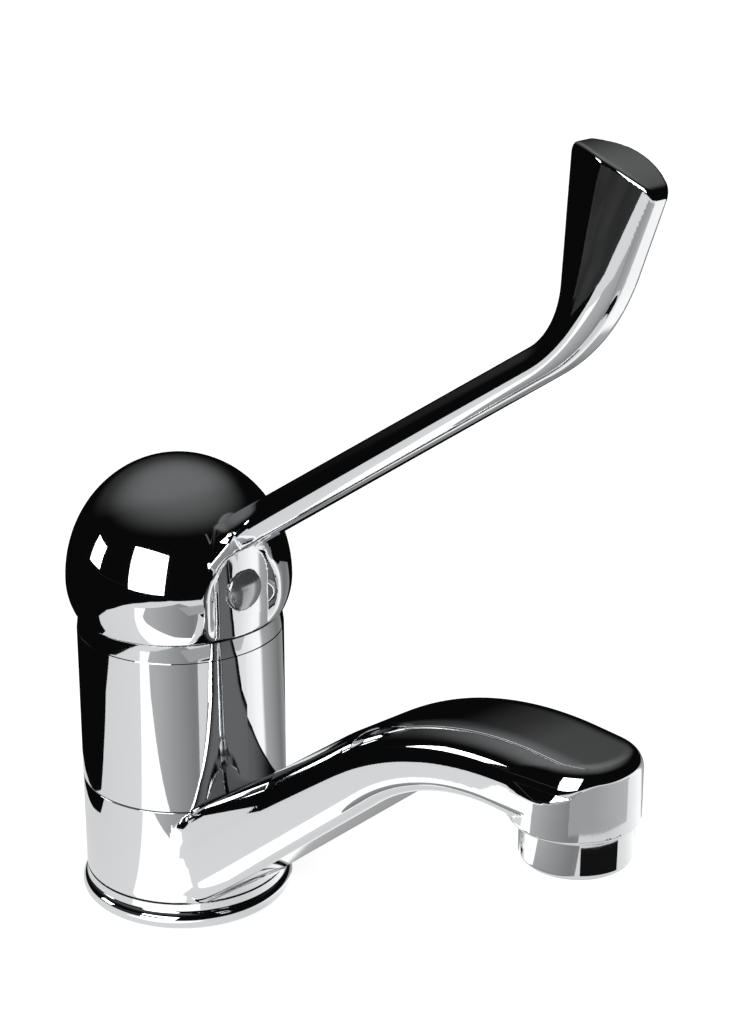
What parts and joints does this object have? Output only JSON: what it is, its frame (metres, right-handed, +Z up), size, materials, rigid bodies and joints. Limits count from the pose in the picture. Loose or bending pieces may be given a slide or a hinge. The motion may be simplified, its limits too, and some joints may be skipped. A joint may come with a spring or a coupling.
{
  "type": "basin mixer tap",
  "caption": "Chrome deck-mounted basin mixer tap with a domed handle, a long bent elbow lever ending in a flared blade, and a low arched swivel spout with aerator",
  "frame": {"origin": "centre of the base on the deck, on the axis of the body", "axes": "+Z up out of the deck, +X along the spout and the lever at rest, +Y to the left of the spout"},
  "size_m": [0.1742, 0.0542, 0.2096],
  "materials": {
    "chrome_body": "polished chrome plate",
    "chrome_spout": "polished chrome plate",
    "chrome_handle": "polished chrome plate",
    "button_dark": "smooth grey",
    "bright_steel": "plain stainless steel",
    "raw_brass": "machined brass",
    "bearing_plastic": "moulded white acetal",
    "disc_ceramic": "lapped white alumina",
    "seal_rubber": "matt black rubber"
  },
  "bodies": {
    "fixed": {"mixer_body": "chrome_body", "base_ring": "chrome_body", "deck_seal": "seal_rubber", "base_clip": "bright_steel", "swivel_stop_pin": "bright_steel", "glide_ring_lower": "bearing_plastic", "glide_ring_upper": "bearing_plastic", "spout_seal_lower": "seal_rubber", "spout_seal_upper": "seal_rubber", "collar_ring": "chrome_body", "cartridge_nut": "raw_brass", "cartridge_housing": "bearing_plastic", "cartridge_base": "bearing_plastic", "cartridge_port_seals": "seal_rubber", "fixed_disc": "disc_ceramic"},
    "spout_body": {"spout": "chrome_spout", "aerator_housing": "chrome_spout", "aerator_insert": "bearing_plastic", "aerator_screen": "bright_steel", "aerator_washer": "seal_rubber"},
    "turret_body": {"turret": "bearing_plastic", "pivot_pin": "bright_steel"},
    "slider_body": {"moving_disc": "disc_ceramic", "disc_driver": "bearing_plastic"},
    "lever_body": {"lever_handle": "chrome_handle", "stem": "raw_brass", "grub_screw": "bright_steel", "button_cap": "button_dark"}
  },
  "joints": [
    {"name": "spout_swivel", "type": "hinge", "parent": "fixed", "child": "spout_body", "pos_m": [0, 0, 0.02], "axis": [0, 0, 1], "range_deg": [-60, 60]},
    {"name": "temperature_turn", "type": "hinge", "parent": "fixed", "child": "turret_body", "pos_m": [0, 0, 0.06], "axis": [0, 0, 1], "range_deg": [-50, 50]},
    {"name": "flow_lift", "type": "hinge", "parent": "turret_body", "child": "lever_body", "pos_m": [0, 0, 0.0651], "axis": [0, -1, 0], "range_deg": [0, 22]},
    {"name": "disc_slide", "type": "slide", "parent": "turret_body", "child": "slider_body", "axis": [1, 0, 0], "range_m": [0, 0.0031]}
  ],
  "couplings": [
    {"joint": "disc_slide", "follows": "flow_lift", "m_per_rad": 0.008}
  ]
}
